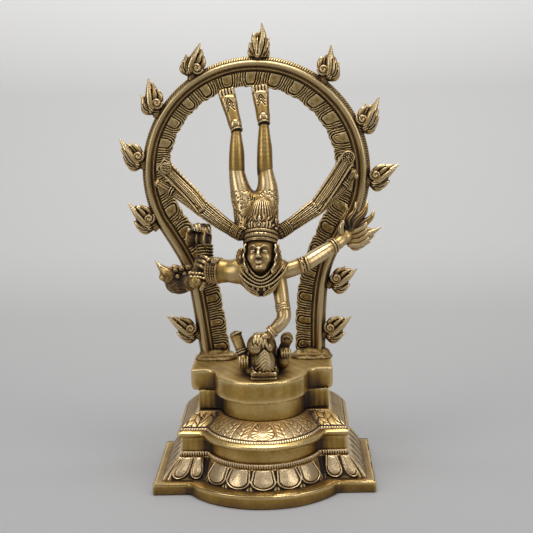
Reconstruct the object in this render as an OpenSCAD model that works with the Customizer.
// Cast brass dancing figure in a flaming arch, standing on a stepped lotus pedestal.
// Millimetres, +Z up, front faces -Y, origin at the middle of the footprint on the floor.

/* [Overall] */
// Width across the outermost flames
overall_w = 190.5; // [180:0.5:200]
// Depth of the pedestal, front of the bow to the back
overall_d = 114.3; // [108:0.1:120]
// Height to the tip of the top flame
overall_h = 304.8; // [295:0.1:315]

/* [Pedestal] */
// Thickness of the hollow casting's walls
wall = 3.6; // [3:0.1:5]
// Thickness of the base plate
plate_h = 6.9; // [5:0.1:9]
// Height at which the lower lotus ends
lotus_1_top = 21; // [18:0.5:24]
// Height at which the lower neck starts, above the rope ring
rope_top = 24; // [22:0.5:27]
// Height at which the rim moulding starts
rim_low = 33.8; // [31:0.2:36]
// Height at which the upper lotus starts
rim_top = 38.4; // [36:0.2:40]
// Height at which the upper lotus ends
lotus_2_top = 47; // [44:0.5:50]
// Underside of the top slab
slab_low = 60; // [56:0.5:63]
// Top of the slab, on which everything stands
slab_top = 73.4; // [70:0.1:76]

/* [Arch] */
// Centre of the ring to the right of the pedestal's middle
ring_x = -2.4; // [-5:0.1:5]
// Height of the centre of the ring
ring_z = 204.4; // [200:0.1:212]
// Outer radius of the ring
ring_r = 78.4; // [72:0.1:80]
// Width of the raised rim
rim_w = 8.5; // [6:0.5:10]
// Radius of the opening
ring_open_r = 56.8; // [48:0.1:60]
// Centre of the opening to the right of the pedestal's middle
open_x = -4.8; // [-8:0.1:5]
// Height of the centre of the opening
open_z = 205.5; // [200:0.1:212]
// Front of the raised rim
arch_front = 38.5; // [37:0.5:41]
// Front of the sunk ornament band
band_front = 42.5; // [41:0.5:45]
// Back of the arch
arch_back = 48.5; // [47:0.5:54]

/* [Figure] */
// Radius of the crown at the brow
crown_r = 11.2; // [10:0.1:13]
// Height of the crown
crown_h = 29; // [24:0.5:32]
// Thickness of the hair locks
lock_r = 4.2; // [3:0.1:6]

/* [Hidden] */
eps = 0.02;
half_w = overall_w / 2;
half_d = overall_d / 2;
back_y = half_d;
FLAMES = [
    "flame_top", "flame_left_1", "flame_left_2", "flame_left_3", "flame_left_4", "flame_left_5",
    "flame_left_6", "flame_right_1", "flame_right_2", "flame_right_3", "flame_right_4",
    "flame_right_5", "flame_right_6"
];

// Half widths of the arch's legs with their heights, outside and then inside
LEFT_OUT = [[45, 0], [48.8, 105], [51.8, 125], [56, 140], [62.5, 152], [70.5, 164]];
RIGHT_OUT = [[43.5, 0], [43.8, 105], [46, 125], [50, 140], [56, 152], [64, 164]];
LEFT_IN = [[23.5, 0], [27.3, 105], [31, 130], [37.5, 150], [46, 165], [57, 184]];
RIGHT_IN = [[22, 0], [22.6, 105], [25.8, 130], [32, 150], [39, 165], [47.5, 184]];

// Each flame: x and z of its root, then x and z of its tip
FLAME_PLACES = [
    [[1, 281.6], [3, overall_h]],
    [[-44, 270], [-37.5, 292.5]],
    [[-69, 246], [-73.5, 270]],
    [[-79.5, 211], [0.2 - half_w, 230]],
    [[-73, 168], [-91.5, 185.5]],
    [[-52.5, 127], [-73.5, 143]],
    [[-46, 90], [-67.5, 104.5]],
    [[45, 266], [50, 289]],
    [[68, 232], [82, 254]],
    [[74, 196], [half_w - 0.1, 208.5]],
    [[59, 156], [83, 165]],
    [[47, 125], [66, 136]],
    [[42, 89], [61.5, 102]]
];

// ---------- helpers ----------

// Flat-backed plan with a round bow in the middle of the front
// w half width, f front of the corner blocks, n nose of the bow, h half width of the bow
module plan(w, f, n, h, b) {
    rise = f - n;
    r = (h * h + rise * rise) / (2 * rise);
    union() {
        translate([-w, f]) square([2 * w, b - f]);
        intersection() {
            translate([0, n + r]) circle(r = r, $fn = 96);
            translate([-w, n - 1]) square([2 * w, b - n]);
        }
    }
}

// A ring of that plan between two heights
module tier(z0, z1, w, f, n, h, b, t = wall) {
    translate([0, 0, z0]) linear_extrude(z1 - z0) difference() {
        plan(w, f, n, h, b);
        plan(w - t, f + t, n + t, h - t * 0.6, b - t);
    }
}

// Solid that swells between levels; each level is [z, w, f, n, h, b]
module swell(levels, t) {
    hull() for (l = levels)
        translate([-l[1] + t, l[2] + t, l[0]]) cube([2 * (l[1] - t), l[5] - l[2] - 2 * t, eps]);
    hull() for (l = levels) {
        rise = l[2] - l[3];
        r = (l[4] * l[4] + rise * rise) / (2 * rise);
        translate([0, l[3] + r, l[0]]) cylinder(r = r - t, h = eps, $fn = 64);
    }
}

// Swelling shell, open above and below
module lotus(levels) {
    last = levels[len(levels) - 1];
    above = concat([last[0] + 2], [for (i = [1:5]) last[i]]);
    first = levels[0];
    below = concat([first[0] - 2], [for (i = [1:5]) first[i]]);
    difference() {
        swell(levels, 0);
        swell(concat([below], levels, [above]), wall);
    }
}

// Round-ended limb piece between two points
module limb(p, q, rp, rq) {
    hull() {
        translate(p) sphere(rp, $fn = 14);
        translate(q) sphere(rq, $fn = 14);
    }
}

// Squashed ball
module blob(p, s) {
    translate(p) scale(s) sphere(1, $fn = 18);
}

// Half of the arch's front below the ring; s is -1 on the left, and inset is measured from the edge
module leg_outline(s, edge, inset, top) {
    scale([s, 1]) polygon(concat(
        [[0, edge[0][1] + slab_top]],
        [for (p = edge) [p[0] - inset, max(p[1], slab_top)]],
        [[0, top]]
    ));
}

// Plain front outline of the arch, drawn inset from its outer edge
module arch_outline(inset) {
    union() {
        translate([ring_x, ring_z]) circle(r = ring_r - inset, $fn = 128);
        leg_outline(-1, LEFT_OUT, inset, 175);
        leg_outline(1, RIGHT_OUT, inset, 175);
    }
}

// Opening of the arch: the ring's inside and the way down between the legs
module arch_opening() {
    union() {
        translate([open_x, open_z]) circle(r = ring_open_r, $fn = 96);
        leg_outline(-1, LEFT_IN, 0, 200);
        leg_outline(1, RIGHT_IN, 0, 200);
        translate([-20, slab_top - 1]) square([40, 20]);
    }
}

// One flame: a rolled root and four tongues swept towards the tip
module flame(root, tip) {
    d = tip - root;
    len = norm(d);
    translate([root[0], (arch_front + arch_back) / 2 - 1, root[1]])
        rotate([0, atan2(d[0], d[1]), 0]) {
            translate([0, 3, 5]) rotate([90, 0, 0]) cylinder(r = 6.2, h = 7.5, $fn = 32);
            limb([0, 0, 8], [0, 0, len - 0.8], 4.6, 0.8);
            limb([-3, 0, 8], [-5.5, 0, len * 0.72], 3.2, 0.8);
            limb([3, 0, 8], [5.5, 0, len * 0.8], 3.2, 0.8);
        }
}

// ---------- pedestal ----------

module base_plate() {
    color([0.72, 0.58, 0.3]) tier(0, plate_h, 73.5, -30.3, -half_d, 48.5, back_y, wall + 2.6);
}

module lower_lotus() {
    color([0.7, 0.56, 0.28]) lotus([
        [plate_h, 68.5, -24, -50, 41, 54.5],
        [plate_h + 5, 67, -22.5, -49, 40.5, 54],
        [lotus_1_top, 57.5, -15, -41, 37, 50]
    ]);
}

module rope_ring() {
    color([0.66, 0.53, 0.27]) tier(lotus_1_top, rope_top, 56.5, -14, -40.5, 37, 50);
}

module lower_neck() {
    color([0.7, 0.56, 0.28]) tier(rope_top, rim_low, 55, -12.5, -38.8, 36, 49);
}

module rim_moulding() {
    color([0.74, 0.6, 0.32]) tier(rim_low, rim_top, 57.8, -15, -45, 40.5, 51.5);
}

module upper_lotus() {
    color([0.72, 0.58, 0.3]) lotus([
        [rim_top, 56, -12, -42, 37.5, 50.5],
        [rim_top + 4, 53, -8, -37, 35.5, 49.5],
        [lotus_2_top, 44.8, 3, -22.5, 29, 48.5]
    ]);
}

module upper_neck() {
    color([0.7, 0.56, 0.28]) tier(lotus_2_top, slab_low, 44.3, 8, -21, 27.5, 48.5);
}

module top_slab() {
    color([0.74, 0.6, 0.32]) difference() {
        translate([0, 0, slab_low]) linear_extrude(slab_top - slab_low)
            plan(47.7, 12.6, -22.7, 31, 54);
        translate([0, 0, slab_low - 1]) linear_extrude(slab_top - slab_low - wall)
            plan(43.4 - wall, 9 + wall, -20 + wall, 26, 52 - wall);
    }
}

// ---------- arch ----------

module arch() {
    color([0.66, 0.52, 0.27]) rotate([90, 0, 0]) {
        translate([0, 0, -arch_back]) linear_extrude(arch_back - arch_front) difference() {
            arch_outline(0);
            arch_outline(rim_w);
            translate([-60, 0]) square([120, slab_top]);
        }
        translate([0, 0, -arch_back]) linear_extrude(arch_back - band_front) difference() {
            arch_outline(rim_w - eps);
            arch_opening();
        }
    }
}

// Lumps of brazing metal that run the legs of the arch into the slab
module foot_fillets() {
    color([0.5, 0.38, 0.22]) for (s = [-1, 1]) difference() {
        translate([s * 32.8, arch_front + 1, slab_top]) rotate([0, 90, 0])
            cylinder(r = 4.4, h = 21.5, center = true, $fn = 48);
        translate([s * 32.8 - 20, arch_front - 10, slab_top - 12]) cube([40, 40, 12]);
        translate([s * 32.8 - 20, arch_front, slab_top - 1]) cube([40, 40, 12]);
    }
}

module flame_node(i) {
    color([0.78, 0.64, 0.36]) flame(FLAME_PLACES[i][0], FLAME_PLACES[i][1]);
}

// ---------- main figure ----------

module torso() {
    color([0.68, 0.54, 0.28]) {
        hull() {
            for (s = [-1, 1]) translate([s * 7.5 - 0.5, 3, 142]) sphere(8.5, $fn = 18);
            translate([-0.5, 3, 134]) sphere(8, $fn = 18);
        }
        limb([-1, 6, 145], [-1.5, 12, 161], 10, 9);
        limb([-1.5, 12, 161], [-2, 13, 174], 9, 11);
    }
}

module necklace() {
    color([0.5, 0.38, 0.2]) translate([0, -3.5, 139]) rotate([68, 0, 0])
        rotate_extrude($fn = 64) translate([10.5, 0]) circle(r = 2.1, $fn = 20);
}

module garment() {
    color([0.7, 0.56, 0.3]) {
        hull() {
            translate([-9.5, 14.5, 177]) sphere(7.2, $fn = 16);
            translate([5.5, 14.5, 177]) sphere(7.2, $fn = 16);
            translate([-10.5, 17, 191]) sphere(8.4, $fn = 16);
            translate([4, 17, 191]) sphere(8.6, $fn = 16);
        }
        limb([-11, 17.5, 191], [-13.5, 19.5, 204], 8, 6.8);
        limb([4, 17.5, 191], [3.2, 19.5, 204], 8.6, 7.2);
    }
}

// Calf and upturned foot; the toes touch the band of the arch
module leg(knee, ankle, heel, toe) {
    limb(knee, (knee + ankle) / 2 + [0, -0.6, 1], 6.2, 5.8);
    limb((knee + ankle) / 2 + [0, -0.6, 1], ankle, 5.8, 3.9);
    limb(heel, (heel + toe) / 2, 4.6, 4.6);
    limb((heel + toe) / 2, toe, 4.6, 5);
}

module left_leg() {
    color([0.76, 0.62, 0.32])
        leg([-14.2, 20.5, 206], [-13.6, 22, 232], [-13.6, 23, 237], [-19.5, 35, 261.5]);
}

module right_leg() {
    color([0.76, 0.62, 0.32])
        leg([4.2, 20.5, 206], [4.5, 22, 237], [4.8, 23, 241.5], [2.4, 35, 263]);
}

module head() {
    color([0.74, 0.6, 0.34]) hull() {
        translate([1, -3.5, 157.5]) sphere(9.6, $fn = 24);
        translate([1, -7.5, 148.6]) sphere(5.4, $fn = 24);
    }
}

module earrings() {
    color([0.5, 0.38, 0.2]) for (s = [-1, 1])
        translate([1 + s * 11.2, -2, 151.5]) rotate([90, 0, s * 20]) scale([1, 1.5, 1])
            cylinder(r = 2.7, h = 5, center = true, $fn = 32);
}

module crown() {
    color([0.6, 0.47, 0.25]) translate([1.3, -3, 164.2]) {
        cylinder(r = crown_r + 0.4, h = 5.6, $fn = 64);
        translate([0, 0, 5.5]) cylinder(r1 = crown_r - 0.6, r2 = 6.6, h = crown_h - 9, $fn = 64);
        translate([0.4, 0, crown_h - 3.6]) cylinder(r1 = 6.6, r2 = 4, h = 3.6, $fn = 48);
    }
}

// Bundle of hair that parts into two rolled locks against the arch; s = -1 is the left side
module locks(s, start, bend, tip_high, tip_low) {
    color([0.62, 0.48, 0.26]) {
        limb(start, bend, lock_r + 0.6, lock_r + 1.8);
        limb(bend, tip_high, lock_r + 0.6, lock_r);
        limb(bend + [s * 3, 1, -1], tip_low, lock_r + 0.6, lock_r);
    }
}

module hair_left() {
    locks(-1, [-13, 8, 165.5], [-33, 19, 181], [-62.5, 34.5, 217], [-64.5, 34.5, 193]);
}

module hair_right() {
    locks(1, [15, 8, 164.5], [37, 19, 178.5], [60, 34.5, 214], [62.5, 34.5, 201]);
}

module drum_arm() {
    color([0.7, 0.56, 0.29]) {
        limb([-12, 3.5, 142], [-29, 9, 141.5], 7.6, 8);
        limb([-29, 9, 141.5], [-39, 17, 143], 8.6, 7.4);
        limb([-39, 17, 143], [-38.5, 21, 156], 7, 5.8);
        limb([-38.5, 21.5, 156], [-36, 23, 168], 5.2, 4.6);
    }
}

module drum() {
    color([0.4, 0.3, 0.18]) translate([-41.5, 20, 163]) rotate([0, 90, -20]) {
        cylinder(r1 = 6.6, r2 = 3.6, h = 7, $fn = 40);
        translate([0, 0, -7]) cylinder(r1 = 3.6, r2 = 6.6, h = 7.02, $fn = 40);
    }
}

module fist_arm() {
    color([0.55, 0.42, 0.23]) {
        limb([-40, 19, 139], [-42.5, 10, 134], 7.4, 6.4);
        limb([-42.5, 10, 134], [-43.5, 8, 130.5], 6.6, 5.4);
        limb([-46, 24, 134], [-57, 30, 128], 7, 7.5);
    }
}

module flame_arm() {
    color([0.74, 0.6, 0.32]) {
        limb([11, 3.5, 143], [31, 7, 148.5], 6.6, 6);
        limb([31, 7, 148.5], [51.5, 21.5, 157], 6, 4.2);
        limb([51.5, 21.5, 157], [60, 26, 166], 4.6, 6);
        limb([60, 26, 166], [70, 29.5, 163], 4, 1.6);
    }
}

module hand_flame() {
    color([0.74, 0.6, 0.34]) {
        limb([63, 27, 168], [72, 30, 184], 4.4, 1);
        limb([60, 27, 168], [63, 29, 180], 3.6, 1);
        limb([65, 27, 168], [76, 30, 173], 3.4, 1);
    }
}

module support_arm() {
    color([0.74, 0.6, 0.32]) {
        limb([12.5, 2.5, 138], [16.4, -3.5, 120], 5.6, 5);
        limb([16.4, -3.5, 120], [8, -8.5, 106.5], 4.6, 3.6);
        limb([8, -8.5, 106.5], [1, -8, 102], 3.6, 3);
    }
}

// ---------- dwarf ----------

module dwarf_body() {
    color([0.56, 0.43, 0.24]) {
        hull() {
            blob([0, 22, slab_top + 9], [11, 11, 9]);
            blob([0, 2, slab_top + 9.5], [10.5, 10, 9.5]);
        }
        blob([0, -11, slab_top + 3.4], [11, 8, 3.4]);
    }
}

module dwarf_head() {
    color([0.66, 0.52, 0.3]) {
        blob([0, -1, slab_top + 19], [9.6, 9.6, 9]);
        blob([0.5, -10, slab_top + 11], [7.5, 7.5, 8]);
    }
}

module dwarf_arms() {
    color([0.6, 0.46, 0.26]) {
        limb([-17, 5, 99], [-13, 0, 86], 3.6, 3.2);
        limb([-13, 0, 86], [-8, 4, 82], 3.4, 4);
        blob([-12, -3, 79], [5, 5, 5.6]);
        limb([15.5, 5, 97], [17, 3, 87], 4.4, 4);
        limb([17, 3, 87], [8, 4, 83], 4, 4.4);
        blob([15, -1, 79], [5, 5, 5.6]);
    }
}

// ---------- assembly ----------

base_plate();
lower_lotus();
rope_ring();
lower_neck();
rim_moulding();
upper_lotus();
upper_neck();
top_slab();
arch();
foot_fillets();
torso();
necklace();
garment();
left_leg();
right_leg();
head();
earrings();
crown();
hair_left();
hair_right();
drum_arm();
drum();
fist_arm();
flame_arm();
hand_flame();
support_arm();
dwarf_body();
dwarf_head();
dwarf_arms();
for (i = [0 : len(FLAMES) - 1])
    flame_node(i);
